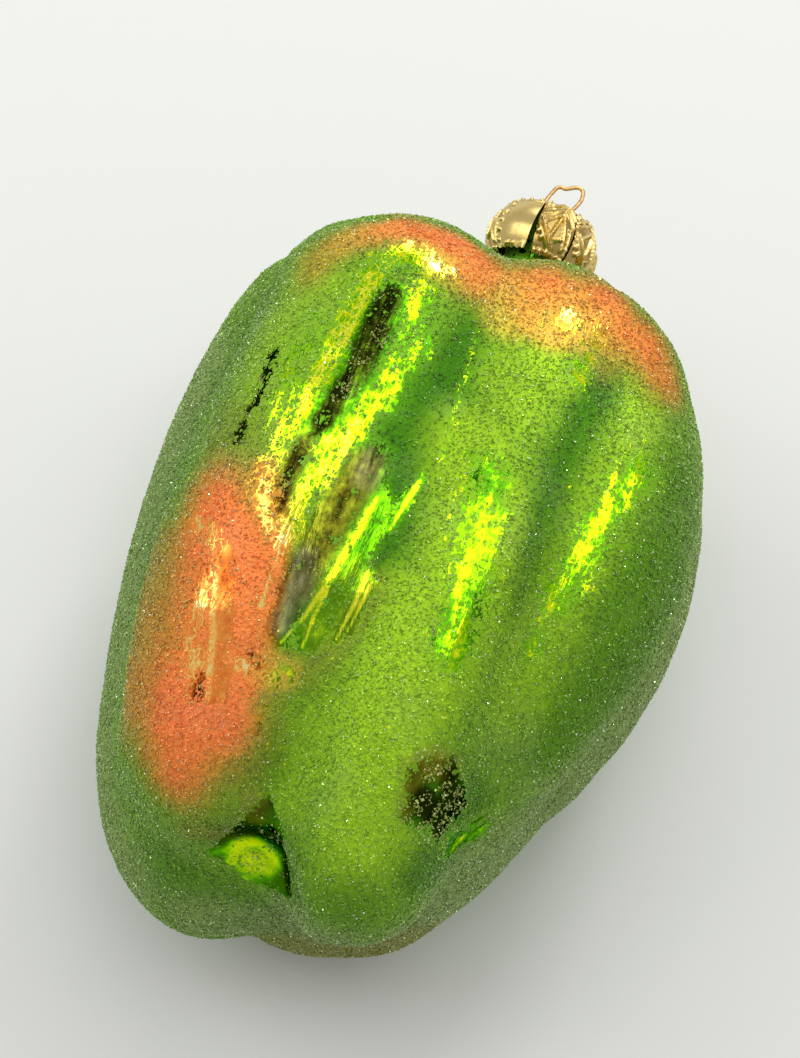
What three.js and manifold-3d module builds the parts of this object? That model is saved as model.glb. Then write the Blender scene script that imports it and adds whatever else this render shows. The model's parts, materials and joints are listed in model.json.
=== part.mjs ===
// A blown-glass bell pepper ornament with a pressed metal crown cap and a bent wire hanger.
// Millimetres and degrees. Everything is shaped on the neck axis, which runs from the blossom end up
// through the neck, and the finished group is then laid on the table on its lowest lobes.
import * as THREE from "three";
import { ConvexHull } from "three/addons/math/ConvexHull.js";
import { mergeVertices } from "three/addons/utils/BufferGeometryUtils.js";
import Module from "manifold-3d";

const wasm = await Module();
wasm.setup();

// Pepper body. A bearing is an angle round the neck axis: 0 faces up when the ornament lies down,
// and +90 faces right when it is seen from above with the neck pointing away.
const bodyLength = 84; // blossom end to the crest of the shoulders
const wall = 1.0; // blown glass
const grooveSoftness = 0.9; // how far neighbouring lobes melt into each other
const core = { radius: 20, tip: 26, drop: 30 }; // fill behind the lobes

// Each lobe is a thick curved sausage with three stations: its tip, so far above the blossom end, its
// belly, so far above the middle, and its shoulder, which drops so far below the crest. At each station
// it has a reach from the axis, a radius and a bearing.
const lobes = [
  { tip: 22, belly: 2, drop: 16.5, reach: [15, 15.5, 17.5], radius: [13.5, 18, 15], bearing: [-47, -38, -34] },
  { tip: 14, belly: 2, drop: 13, reach: [15, 22, 14.5], radius: [9.5, 9.1, 12], bearing: [16, 16, 23] },
  { tip: 24, belly: 6, drop: 17.5, reach: [15, 22.5, 17.8], radius: [8, 11.2, 11.6], bearing: [48, 48, 46] },
  { tip: 22, belly: 3, drop: 18, reach: [8.5, 15.2, 15], radius: [8.5, 14.2, 12.8], bearing: [100, 104, 106] },
  { tip: 16, belly: 0, drop: 17, reach: [8, 13.7, 14.5], radius: [10.5, 12.6, 14.6], bearing: [150, 148, 143] },
  { tip: 16, belly: -2, drop: 17, reach: [10, 13, 15.2], radius: [12.2, 12.7, 15.1], bearing: [190, 205, 217] },
  { tip: 15, belly: 2, drop: 15, reach: [13.2, 19, 19.5], radius: [13.8, 14.5, 13], bearing: [262, 265, 266] },
];

// The bowl that the neck stands in, and the pocket where the lobe tips meet.
const stemBowl = { radius: 10, depth: 5.5, softness: 2.5 };
const footing = { radius: 8, rise: 3 }; // ball that fills the grooves under the neck, up past the bowl's floor
const pocket = { bearing: -17, reach: 17, height: 6.5, radius: 6.5, softness: 1.0 };

// Fineness of the glass surfaces.
const bodyColumns = 66;
const bodyRows = 42;
const spineSegments = 7;
const stride = 0.6; // step of the search for the surface
const overcut = 0.01;

// Neck of the same glass, open at its mouth.
const neckRadius = 4.2;
const neckBore = 3.1;
const neckLip = 0.3; // rounding of the fire-polished mouth
const mouthAboveCrest = 9.8;
const neckSides = 40;

// Crown cap pressed from thin sheet: a flat top, and leaves that flare out round the neck.
const sheet = 0.35;
const seat = 0.3; // air between the cap and the glass mouth
const capTop = { radius: 4.9, fold: 0.4 };
const skirt = { height: 7.2, radius: 6.6, belly: 0.6 };
const leafCount = 8;
const slit = { width: 0.5, height: 5.0, bearing: 35.5 };
const capSides = 64;
const capRings = 8;

// Wire hanger: two legs pass down through the cap into the neck, and a small eye stands outside.
const wireRadius = 0.25;
const holeRadius = 0.55;
const holeSides = 20;
const holeSpacing = 3.1;
const holeBearing = 97; // direction of the line through the two holes
const legs = { length: 8.5, spread: 2.05 };

const eye = { reach: 2.55, height: 5.25, collar: 1.3 };

// Bends of the eye from one hole to the other, as shares of its reach along the hole line and its height.
const eyeBends = [
  [0.9, 0.55],
  [1, 0.78],
  [0.9, 0.97],
  [0.67, 1],
  [0.35, 0.87],
  [0.12, 0.78],
  [-0.18, 0.8],
  [-0.4, 0.65],
];
const wireSides = 8;
const wireSteps = 80;

const radians = THREE.MathUtils.degToRad;

// Point at a bearing and distance from the neck axis.
function outward(bearing, distance) {
  return [Math.sin(radians(bearing)) * distance, -Math.cos(radians(bearing)) * distance];
}

// Curve through three evenly spaced values.
function through(values, t) {
  const [a, b, c] = values;
  return a * (1 - t) * (1 - 2 * t) + b * 4 * t * (1 - t) + c * t * (2 * t - 1);
}

const middle = bodyLength / 2;

function lobeSpine(lobe) {
  const heights = [lobe.tip, middle + lobe.belly, bodyLength - lobe.drop];
  const spine = [];
  for (let i = 0; i <= spineSegments; i += 1) {
    const t = i / spineSegments;
    const [x, y] = outward(through(lobe.bearing, t), through(lobe.reach, t));
    spine.push([x, y, through(heights, t), through(lobe.radius, t)]);
  }
  return spine;
}

const spines = lobes.map(lobeSpine);

// Signed distance from one lobe, negative inside it.
function lobeDistance(spine, x, y, z) {
  let nearest = Infinity;
  for (let i = 1; i < spine.length; i += 1) {
    const [ax, ay, az, ar] = spine[i - 1];
    const [bx, by, bz, br] = spine[i];
    const dx = bx - ax;
    const dy = by - ay;
    const dz = bz - az;
    const along = ((x - ax) * dx + (y - ay) * dy + (z - az) * dz) / (dx * dx + dy * dy + dz * dz);
    const t = Math.min(Math.max(along, 0), 1);
    const d = Math.hypot(x - ax - t * dx, y - ay - t * dy, z - az - t * dz) - ar - t * (br - ar);
    if (d < nearest) nearest = d;
  }
  return nearest;
}

function coreDistance(x, y, z) {
  return Math.hypot(x, y, z - THREE.MathUtils.clamp(z, core.tip, bodyLength - core.drop)) - core.radius;
}

// The larger of two distances, with the edge between them rounded.
function rounded(a, b, softness) {
  const h = Math.max(softness - Math.abs(a - b), 0) / softness;
  return Math.max(a, b) + (h * h * softness) / 4;
}

const bowlFloor = bodyLength - stemBowl.depth;

function footingDistance(x, y, z) {
  return Math.hypot(x, y, z - bowlFloor - footing.rise + footing.radius) - footing.radius;
}

function pepperDistance(x, y, z) {
  let sum = Math.exp(-coreDistance(x, y, z) / grooveSoftness);
  sum += Math.exp(-footingDistance(x, y, z) / grooveSoftness);
  for (const spine of spines) sum += Math.exp(-lobeDistance(spine, x, y, z) / grooveSoftness);
  const lobed = -grooveSoftness * Math.log(sum);
  const bowlSphere = (stemBowl.radius ** 2 + stemBowl.depth ** 2) / (2 * stemBowl.depth);
  const bowl = Math.hypot(x, y, z - bowlFloor - bowlSphere) - bowlSphere;
  const [px, py] = outward(pocket.bearing, pocket.reach);
  const dent = Math.hypot(x - px, y - py, z - pocket.height) - pocket.radius;
  return rounded(rounded(lobed, -bowl, stemBowl.softness), -dent, pocket.softness);
}

// How far the surface, or one sunk `inset` below it, lies from the middle of the body.
function surfaceReach(direction, inset) {
  const solid = (t) => pepperDistance(t * direction.x, t * direction.y, middle + t * direction.z) < -inset;
  let near = core.radius / 2;
  while (solid(near + stride)) near += stride;
  let far = near + stride;
  for (let i = 0; i < 16; i += 1) {
    const t = (near + far) / 2;
    if (solid(t)) near = t;
    else far = t;
  }
  return near;
}

// Closed skin of the body, from rays cast over a sphere that is crowded towards its waist.
const stretch = 1.3;
function pepperSkin(inset) {
  const positions = [];
  const indices = [];
  function addPoint(row, column) {
    const polar = (Math.PI * row) / bodyRows;
    const turn = (2 * Math.PI * column) / bodyColumns;
    const direction = new THREE.Vector3().setFromSphericalCoords(1, polar, turn);
    direction.set(direction.z, direction.x, direction.y * stretch).normalize();
    const reach = surfaceReach(direction, inset);
    positions.push(direction.x * reach, direction.y * reach, middle + direction.z * reach);
  }
  addPoint(0, 0);
  for (let row = 1; row < bodyRows; row += 1) {
    for (let column = 0; column < bodyColumns; column += 1) addPoint(row, column);
  }
  addPoint(bodyRows, 0);
  const last = positions.length / 3 - 1;
  const at = (row, column) => 1 + (row - 1) * bodyColumns + (column % bodyColumns);
  for (let column = 0; column < bodyColumns; column += 1) {
    indices.push(0, at(1, column), at(1, column + 1));
    indices.push(last, at(bodyRows - 1, column + 1), at(bodyRows - 1, column));
    for (let row = 1; row < bodyRows - 1; row += 1) {
      indices.push(at(row, column), at(row + 1, column), at(row + 1, column + 1));
      indices.push(at(row, column), at(row + 1, column + 1), at(row, column + 1));
    }
  }
  const geometry = new THREE.BufferGeometry();
  geometry.setAttribute("position", new THREE.Float32BufferAttribute(positions, 3));
  geometry.setIndex(indices);
  return geometry;
}

// Solid of revolution round the neck axis, from [radius, height] pairs that run upwards outside.
function turned(profile, sides) {
  const points = profile.map(([radius, height]) => new THREE.Vector2(radius, height));
  return new THREE.LatheGeometry(points, sides).rotateX(Math.PI / 2);
}

function toSolid(geometry) {
  const bare = new THREE.BufferGeometry();
  bare.setAttribute("position", geometry.getAttribute("position"));
  bare.setIndex(geometry.getIndex());
  const merged = mergeVertices(bare, 1e-4);
  const vertProperties = merged.getAttribute("position").array;
  const triVerts = new Uint32Array(merged.getIndex().array);
  return new wasm.Manifold(new wasm.Mesh({ numProp: 3, vertProperties, triVerts }));
}

function toGeometry(solid) {
  const { numProp, vertProperties, triVerts } = solid.getMesh();
  const positions = [];
  for (let i = 0; i < vertProperties.length; i += numProp) positions.push(...vertProperties.slice(i, i + 3));
  const geometry = new THREE.BufferGeometry();
  geometry.setAttribute("position", new THREE.Float32BufferAttribute(positions, 3));
  geometry.setIndex([...triVerts]);
  return geometry;
}

const mouthHeight = bodyLength + mouthAboveCrest;

// One blown shell: the lobed body and the neck that is fused to it, hollow and open at the mouth.
function glassPepper() {
  const neckFoot = bowlFloor - wall * 2;
  const neckProfile = [
    [0, neckFoot],
    [neckRadius, neckFoot],
    [neckRadius, mouthHeight - neckLip],
    [neckRadius - neckLip, mouthHeight],
    [0, mouthHeight],
  ];
  const boreFoot = bowlFloor - wall * 6;
  const boreProfile = [
    [0, boreFoot],
    [neckBore, boreFoot],
    [neckBore, mouthHeight - neckLip],
    [neckBore + neckLip, mouthHeight + overcut],
    [0, mouthHeight + overcut],
  ];
  const outside = toSolid(pepperSkin(0)).add(toSolid(turned(neckProfile, neckSides)));
  const inside = toSolid(pepperSkin(wall));
  return toGeometry(outside.subtract(inside).subtract(toSolid(turned(boreProfile, neckSides))));
}

// The cap's flat top lies just clear of the glass mouth.
const capUnderside = mouthHeight + seat;
const capHeight = capUnderside + sheet;

// Outer radius of the leaves at a fraction of the way down from the top to the hem.
function leafRadius(t) {
  return THREE.MathUtils.lerp(capTop.radius, skirt.radius, t) + skirt.belly * 4 * t * (1 - t);
}

function crownCap() {
  const outer = [];
  const inner = [];
  for (let i = 0; i <= capRings; i += 1) {
    const t = i / capRings;
    const height = capHeight - capTop.fold - t * (skirt.height - capTop.fold);
    outer.push([leafRadius(t), height]);
    inner.push([leafRadius(t) - sheet, Math.min(height, capUnderside)]);
  }
  const profile = [
    [0, capUnderside],
    ...inner,
    ...outer.reverse(),
    [capTop.radius - capTop.fold, capHeight],
    [0, capHeight],
  ];
  let cap = toSolid(turned(profile, capSides));
  for (let i = 0; i < leafCount; i += 1) {
    const cutter = new THREE.BoxGeometry(slit.width, skirt.radius * 2, slit.height * 2);
    cutter.translate(0, skirt.radius + neckRadius, capHeight - skirt.height);
    cutter.rotateZ(radians(180 + slit.bearing + (360 / leafCount) * i));
    cap = cap.subtract(toSolid(cutter));
  }
  for (const side of [-1, 1]) {
    const [x, y] = outward(holeBearing, (side * holeSpacing) / 2);
    const drill = new THREE.CylinderGeometry(holeRadius, holeRadius, sheet * 6, holeSides);
    drill.rotateX(Math.PI / 2).translate(x, y, capHeight);
    cap = cap.subtract(toSolid(drill));
  }
  return toGeometry(cap);
}

// The bent wire in the plane of the two holes: u runs from hole to hole, h is the height over the cap.
function wirePath() {
  const half = holeSpacing / 2;
  const leg = [
    [legs.spread, -legs.length],
    [legs.spread, -legs.length * 0.5],
    [half + wireRadius / 2, -capTop.radius / 3],
    [half, -sheet],
    [half, wireRadius],
    [half, eye.collar],
  ];
  const mirrored = leg.map(([u, h]) => [-u, h]).reverse();
  const bends = eyeBends.map(([u, h]) => [u * eye.reach, h * eye.height]);
  return [...leg, ...bends, ...mirrored].map(([u, h]) => {
    const [x, y] = outward(holeBearing, u);
    return new THREE.Vector3(x, y, capHeight + h);
  });
}

function wireHanger() {
  const outline = new THREE.Shape();
  for (let i = 0; i < wireSides; i += 1) {
    const turn = (2 * Math.PI * i) / wireSides;
    const x = wireRadius * Math.cos(turn);
    const y = wireRadius * Math.sin(turn);
    if (i === 0) outline.moveTo(x, y);
    else outline.lineTo(x, y);
  }
  outline.closePath();
  const extrudePath = new THREE.CatmullRomCurve3(wirePath(), false, "centripetal");
  const geometry = new THREE.ExtrudeGeometry(outline, { steps: wireSteps, extrudePath, curveSegments: 1 });
  geometry.deleteAttribute("normal");
  geometry.deleteAttribute("uv");
  return mergeVertices(geometry, 1e-4);
}

const greenGlass = new THREE.MeshStandardMaterial({ color: 0x5c9a2a, roughness: 0.25, metalness: 0.6 });
const capBrass = new THREE.MeshStandardMaterial({ color: 0xcdb274, roughness: 0.3, metalness: 1 });
const wireBrass = new THREE.MeshStandardMaterial({ color: 0xc79a5a, roughness: 0.35, metalness: 1 });

function named(name, geometry, material) {
  const mesh = new THREE.Mesh(geometry, material);
  mesh.name = name;
  return mesh;
}

const pepper = named("glass_pepper", glassPepper(), greenGlass);
const cap = named("crown_cap", crownCap(), capBrass);
const hanger = named("wire_hanger", wireHanger(), wireBrass);

const ornament = new THREE.Group();
ornament.add(pepper, cap, hanger);

// Turn that lays the neck axis along +Y with bearing 0 up.
function lyingTurn() {
  const basis = new THREE.Matrix4().makeBasis(
    new THREE.Vector3(1, 0, 0),
    new THREE.Vector3(0, 0, -1),
    new THREE.Vector3(0, 1, 0),
  );
  return new THREE.Quaternion().setFromRotationMatrix(basis);
}

// Volume centroid of a closed mesh.
function centroidOf(geometry) {
  const position = geometry.getAttribute("position");
  const index = geometry.getIndex();
  const centroid = new THREE.Vector3();
  const corner = [0, 1, 2].map(() => new THREE.Vector3());
  let volume = 0;
  for (let i = 0; i < index.count; i += 3) {
    corner.forEach((point, j) => point.fromBufferAttribute(position, index.getX(i + j)));
    const [a, b, c] = corner;
    const v = a.dot(b.clone().cross(c)) / 6;
    volume += v;
    centroid.addScaledVector(a.clone().add(b).add(c), v / 4);
  }
  return centroid.divideScalar(volume);
}

// Further turn that sets the ornament down on the hull face nearest the table that carries its weight.
function settlingTurn(lying) {
  const position = pepper.geometry.getAttribute("position");
  const points = [];
  for (let i = 0; i < position.count; i += 1) {
    points.push(new THREE.Vector3().fromBufferAttribute(position, i).applyQuaternion(lying));
  }
  const weight = centroidOf(pepper.geometry).applyQuaternion(lying);
  const down = new THREE.Vector3(0, 0, -1);
  let best = null;
  for (const face of new ConvexHull().setFromPoints(points).faces) {
    const distance = face.distanceToPoint(weight);
    const foot = weight.clone().addScaledVector(face.normal, -distance);
    const corners = [];
    let edge = face.edge;
    do {
      corners.push(edge.head().point);
      edge = edge.next;
    } while (edge !== face.edge);
    const carries = corners.every((corner, i) => {
      const next = corners[(i + 1) % corners.length];
      return next.clone().sub(corner).cross(foot.clone().sub(corner)).dot(face.normal) >= 0;
    });
    const tilt = face.normal.angleTo(down);
    if (carries && (best === null || tilt < best.tilt)) best = { tilt, normal: face.normal.clone() };
  }
  return new THREE.Quaternion().setFromUnitVectors(best.normal, down);
}

const lying = lyingTurn();
ornament.quaternion.copy(settlingTurn(lying).multiply(lying));
ornament.updateMatrixWorld(true);
const reach = new THREE.Box3().setFromObject(ornament, true);
ornament.position.set(-(reach.min.x + reach.max.x) / 2, -(reach.min.y + reach.max.y) / 2, -reach.min.z);

const part = new THREE.Group();
part.add(ornament);

export default part;
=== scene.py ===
import json
import math

import bpy
import bmesh
import numpy as np
from mathutils import Matrix, Vector, noise


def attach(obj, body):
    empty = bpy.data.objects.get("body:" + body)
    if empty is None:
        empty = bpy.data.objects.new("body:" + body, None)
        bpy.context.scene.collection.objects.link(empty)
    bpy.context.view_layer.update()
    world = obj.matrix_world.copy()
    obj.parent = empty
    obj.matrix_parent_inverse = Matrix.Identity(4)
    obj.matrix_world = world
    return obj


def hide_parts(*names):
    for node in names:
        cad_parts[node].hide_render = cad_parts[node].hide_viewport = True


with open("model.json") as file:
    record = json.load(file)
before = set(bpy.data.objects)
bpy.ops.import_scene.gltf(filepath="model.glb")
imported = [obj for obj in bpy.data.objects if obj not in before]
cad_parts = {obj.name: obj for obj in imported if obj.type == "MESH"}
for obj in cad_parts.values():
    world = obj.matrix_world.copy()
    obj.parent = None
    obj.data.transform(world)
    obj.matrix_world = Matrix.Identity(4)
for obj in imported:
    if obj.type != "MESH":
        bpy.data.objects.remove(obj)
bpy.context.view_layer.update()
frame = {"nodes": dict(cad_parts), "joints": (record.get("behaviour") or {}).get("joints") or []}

# A blown-glass bell pepper ornament: mirrored glass under green and orange lacquer, a coat of glass grit,
# a pressed brass crown cap and a bent wire hanger. The scene is in metres, and so are the studio's settings.
# All other settings are in millimetres.
bpy.ops.object.select_all(action="DESELECT")

# The ornament's own frame, taken from the joints: a height runs up the neck axis from the blossom end,
# and a bearing turns round that axis, 0 on top as the ornament lies and +90 to its right.
holeBearing = 97  # of the line through the cap's two holes
holeHeight = 94.275  # of that line over the blossom end
joints = {joint["name"]: joint for joint in frame["joints"]}
neckAxis = Vector(joints["cap_lift"]["axis"]).normalized()
holeLine = Vector(joints["hanger_swing"]["axis"]).normalized()
pivot = Vector(joints["hanger_swing"]["pos_m"])
topSide = Matrix.Rotation(math.radians(-holeBearing), 3, neckAxis) @ holeLine
rightSide = Matrix.Rotation(math.radians(90 - holeBearing), 3, neckAxis) @ holeLine
blossomEnd = pivot - neckAxis * (holeHeight / 1000)


# A point of the scene, from its bearing in degrees and its radius and height in millimetres.
def spot(bearing, radius, height):
    turn = math.radians(bearing)
    side = topSide * math.cos(turn) + rightSide * math.sin(turn)
    return blossomEnd + (side * radius + neckAxis * height) / 1000


# Bearing, radius and height, the other way round, for many points at once.
def whereOnBody(points):
    away = np.asarray(points) - np.array(blossomEnd)
    height = away @ np.array(neckAxis)
    up = away @ np.array(topSide)
    across = away @ np.array(rightSide)
    return np.degrees(np.arctan2(across, up)), np.hypot(across, up) * 1000, height * 1000


def pointsOf(piece):
    points = np.zeros(len(piece.data.vertices) * 3)
    piece.data.vertices.foreach_get("co", points)
    return points.reshape(-1, 3)


def putPoints(piece, points):
    piece.data.vertices.foreach_set("co", np.asarray(points, dtype=np.float32).ravel())
    piece.data.update()


def only(piece):
    if bpy.context.object and bpy.context.object.mode != "OBJECT":
        bpy.ops.object.mode_set(mode="OBJECT")
    bpy.ops.object.select_all(action="DESELECT")
    bpy.context.view_layer.objects.active = piece
    piece.select_set(True)


# Leaves the piece in edit mode with just the faces or points that pass the test selected.
def pick(piece, kind, test):
    only(piece)
    bpy.ops.object.mode_set(mode="EDIT")
    bpy.ops.mesh.select_mode(type=kind)
    bpy.ops.mesh.select_all(action="DESELECT")
    bpy.ops.object.mode_set(mode="OBJECT")
    for item in piece.data.polygons if kind == "FACE" else piece.data.vertices:
        item.select = bool(test(item))
    bpy.ops.object.mode_set(mode="EDIT")


# Merges doubles and turns the faces outwards. With an angle, edges sharper than that stay sharp.
def finishMesh(piece, smooth=None):
    only(piece)
    bpy.ops.object.mode_set(mode="EDIT")
    bpy.ops.mesh.select_all(action="SELECT")
    bpy.ops.mesh.remove_doubles(threshold=1e-6)
    bpy.ops.mesh.normals_make_consistent(inside=False)
    bpy.ops.object.mode_set(mode="OBJECT")
    if smooth is None:
        bpy.ops.object.shade_smooth()
    else:
        bpy.ops.object.shade_smooth_by_angle(angle=math.radians(smooth))


def modify(piece, kind, **settings):
    only(piece)
    change = piece.modifiers.new(kind.lower(), kind)
    for name, value in settings.items():
        setattr(change, name, value)
    bpy.ops.object.modifier_apply(modifier=change.name)


# An sRGB hex value as the linear colour that a node works with.
def colour(hexValue):
    parts = [int(hexValue[i:i + 2], 16) / 255 for i in (1, 3, 5)]
    return tuple(p / 12.92 if p <= 0.04045 else ((p + 0.055) / 1.055) ** 2.4 for p in parts) + (1,)


# The Scale of a pattern whose features are so many millimetres apart.
def perMetre(size):
    return 1000 / size


def newMaterial(name):
    material = bpy.data.materials.new(name)
    material.use_nodes = True
    material.node_tree.nodes.clear()
    return material, material.node_tree


# Adds a node. Its inputs come in order or as {socket: value}, and a value is a number, a hex colour, another
# node's output or the node itself, which stands for its first output in use. Stops are for a colour ramp, as
# (place, colour or grey), and all other settings go by attribute name.
def add(tree, kind, inputs=(), stops=(), **settings):
    node = tree.nodes.new("ShaderNode" + kind)
    for name, value in settings.items():
        setattr(node, name, value)
    for socket, value in inputs.items() if isinstance(inputs, dict) else enumerate(inputs):
        if isinstance(value, bpy.types.Node):
            value = next(output for output in value.outputs if output.enabled)
        if isinstance(value, bpy.types.NodeSocket):
            tree.links.new(value, node.inputs[socket])
        else:
            node.inputs[socket].default_value = colour(value) if isinstance(value, str) else value
    while stops and len(node.color_ramp.elements) < len(stops):
        node.color_ramp.elements.new(0.5)
    for number, (place, tone) in enumerate(stops):
        element = node.color_ramp.elements[number]
        element.position = place
        element.color = colour(tone) if isinstance(tone, str) else (tone, tone, tone, 1)
    return node


# A share that is 0 up to a start and climbs from there to 1 at a rate.
def climb(tree, value, start, rate):
    past = add(tree, "Math", [value, start], operation="SUBTRACT")
    return add(tree, "Math", [past, rate], operation="MULTIPLY", use_clamp=True)


# Colours laid over one another, each by its own share.
def overlaid(tree, under, *layers):
    for over, share in layers:
        under = add(tree, "Mix", {0: share, 6: under, 7: over}, data_type="RGBA")
    return under


# A value pushed up and down by a pattern, round the pattern's middle.
def swayed(tree, value, pattern, middle, strength):
    off = add(tree, "Math", [pattern, middle], operation="SUBTRACT")
    return add(tree, "Math", [off, strength, value], operation="MULTIPLY_ADD")


print("frame loaded, ornament frame found")

# Camera first: it follows the photograph's viewing angle
view = {"lens": 69.9, "place": (26.94, -80.19, 244.75), "aim": (-1.78, -0.12, 29.98), "roll": -0.3}
cameraData = bpy.data.cameras.new("studioCamera")
cameraData.sensor_width = 36
cameraData.lens = view["lens"]
cameraData.clip_start = 0.01
cameraData.clip_end = 20
camera = bpy.data.objects.new("studioCamera", cameraData)
bpy.context.scene.collection.objects.link(camera)
gaze = Vector(view["aim"]) - Vector(view["place"])
turned = gaze.to_track_quat("-Z", "Y").to_matrix() @ Matrix.Rotation(math.radians(view["roll"]), 3, "Z")
camera.matrix_world = Matrix.Translation(Vector(view["place"]) / 1000) @ turned.to_4x4()
bpy.context.scene.camera = camera

# Glass body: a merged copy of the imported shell, opened at the neck, then refined
glassBody = {
    "neck": [(4.1, 80.1), (3.95, 81.6), (3.95, 88.5), (4.1, 91.6), (4.2, 93.1), (4.16, 93.6), (3.9, 93.8),
             (3.4, 93.8), (3.15, 93.55), (3.1, 93.0), (3.1, 79.0), (3.25, 76.6)],
    "hollow": [(9.0, 72.0), (15.0, 60.0), (16.2, 42.0), (9.0, 23.5)],
    "refine": 2,
    "heart": 42,  # height of the point on the axis that outward is measured from
    "neckCut": (75, 4.203),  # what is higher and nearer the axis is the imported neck, which is drawn anew
    "neckSkin": (76, 4.6),  # what is higher and nearer the axis isn't lacquered
    "neckFoot": (80, 6),  # what is higher or nearer the axis keeps its place
    "bowl": 17,  # what is nearer the axis can be in the stem bowl
}


def glassCopy():
    source = frame["nodes"]["glass_pepper"]
    piece = bpy.data.objects.new("glassPepper", source.data.copy())
    bpy.context.scene.collection.objects.link(piece)
    piece.data.materials.clear()
    only(piece)
    bpy.ops.object.mode_set(mode="EDIT")
    bpy.ops.mesh.select_all(action="SELECT")
    bpy.ops.mesh.remove_doubles(threshold=2e-6)
    bpy.ops.object.mode_set(mode="OBJECT")
    return piece


glassPepper = glassCopy()
heart = spot(0, 0, glassBody["heart"])


def isInnerOrNeck(face):
    away = face.center - heart
    height = (face.center - blossomEnd).dot(neckAxis) * 1000
    reach = ((face.center - blossomEnd) - neckAxis * height / 1000).length * 1000
    neckHeight, neckReach = glassBody["neckCut"]
    return face.normal.dot(away) < 0 or (height > neckHeight and reach < neckReach)


pick(glassPepper, "FACE", isInnerOrNeck)
bpy.ops.mesh.delete(type="FACE")
bpy.ops.mesh.select_all(action="SELECT")
bpy.ops.mesh.delete_loose()
bpy.ops.mesh.select_all(action="SELECT")
bpy.ops.mesh.tris_convert_to_quads(face_threshold=math.pi, shape_threshold=math.pi)
bpy.ops.mesh.select_mode(type="EDGE")
bpy.ops.mesh.select_all(action="DESELECT")
bpy.ops.mesh.select_non_manifold(extend=False, use_boundary=True, use_wire=False, use_multi_face=False,
                                 use_non_contiguous=False, use_verts=False)


# Extrudes the selected rim and sets it at a radius and height round the neck axis.
def drawRim(radius, height):
    bpy.ops.mesh.extrude_edges_move()
    mesh = bmesh.from_edit_mesh(glassPepper.data)
    for point in mesh.verts:
        if point.select:
            away = point.co - blossomEnd
            side = away - neckAxis * away.dot(neckAxis)
            point.co = blossomEnd + side.normalized() * radius / 1000 + neckAxis * height / 1000
    bmesh.update_edit_mesh(glassPepper.data)


for radius, height in glassBody["neck"] + glassBody["hollow"]:
    drawRim(radius, height)
bpy.ops.mesh.edge_face_add()
bpy.ops.mesh.poke()
bpy.ops.object.mode_set(mode="OBJECT")
modify(glassPepper, "SUBSURF", levels=glassBody["refine"], render_levels=glassBody["refine"])
finishMesh(glassPepper)
print("glass body refined:", len(glassPepper.data.polygons), "faces")

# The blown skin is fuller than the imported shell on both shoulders, and slimmer low on the left, as
# (bearing, height, reach, lift).
fullness = [
    (-48, 73.5, 9.0, 1.0), (-62, 70, 9.0, 1.0), (-76, 75.5, 6.0, 0.7), (40, 76, 9.0, 1.5),
    (-88, 5.5, 14.0, -1.5),
]


# The skin's points, the way they face, their places on the body, and which of them are on the outside.
def readSkin():
    points = pointsOf(glassPepper)
    bearing, radius, height = whereOnBody(points)
    facing = np.zeros(len(points) * 3)
    glassPepper.data.vertices.foreach_get("normal", facing)
    facing = facing.reshape(-1, 3)
    outer = ((points - np.array(heart)) * facing).sum(1) > 0
    neckHeight, neckReach = glassBody["neckSkin"]
    outer &= ~((height > neckHeight) & (radius < neckReach))
    return points, facing, bearing, radius, height, outer


skin, normals, skinBearing, skinRadius, skinHeight, outside = readSkin()
for bearing, height, reach, lift in fullness:
    footHeight, footReach = glassBody["neckFoot"]
    onSkin = (skinHeight < footHeight) & (skinRadius > footReach)
    away = np.hypot(np.radians(skinBearing - bearing) * skinRadius, skinHeight - height)
    away[skinRadius <= glassBody["bowl"]] = 1e3
    centre = skin[away.argmin()]
    share = np.clip(1 - (np.linalg.norm(skin - centre, axis=1) * 1000 / reach) ** 2, 0, 1) ** 2
    outwards = skin - np.array(heart)
    outwards /= np.linalg.norm(outwards, axis=1)[:, None]
    skin += outwards * (share * onSkin * lift / 1000)[:, None]
putPoints(glassPepper, skin)
skin, normals, skinBearing, skinRadius, skinHeight, outside = readSkin()


# Puts a path of bearings and heights on the skin, as points of the scene. Where the skin folds over itself,
# a radius says which fold is meant.
def layOnSkin(path):
    laid = []
    for bearing, height, *radius in path:
        turn = (skinBearing - bearing + 180) % 360 - 180
        off = (np.radians(turn) * skinRadius) ** 2 + (skinHeight - height) ** 2
        if radius:
            off += (skinRadius - radius[0]) ** 2
        off[~outside] = 1e9
        laid.append(skin[off.argmin()])
    return np.array(laid)


# Distance in millimetres from the skin's points to a path laid on it, and how far along the path it is met.
def pathDistance(path):
    laid = layOnSkin(path)
    best = np.full(len(skin), 1e9)
    along = np.zeros(len(skin))
    if len(laid) == 1:
        return np.linalg.norm(skin - laid[0], axis=1) * 1000, along
    for i in range(len(laid) - 1):
        a, b = laid[i], laid[i + 1]
        t = np.clip(((skin - a) @ (b - a)) / max(((b - a) ** 2).sum(), 1e-12), 0, 1)
        off = np.linalg.norm(skin - a - t[:, None] * (b - a), axis=1) * 1000
        near = off < best
        best[near] = off[near]
        along[near] = (i + t[near]) / (len(laid) - 1)
    return best, along


# A brush stroke: 1 on the path, fading to 0 between width and width + soft, thinner at both tips if tapered.
def stroke(path, width, soft, taper=0.0):
    off, along = pathDistance(path)
    wide = width * (1 - taper * np.abs(2 * along - 1) ** 2)
    weight = np.clip((wide + soft - off) / soft, 0, 1)
    weight = weight * weight * (3 - 2 * weight)
    weight[~outside] = 0
    return weight


def keepAttribute(piece, name, values):
    layer = piece.data.attributes.new(name, "FLOAT", "POINT")
    layer.data.foreach_set("value", np.asarray(values, dtype=np.float32))


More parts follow.
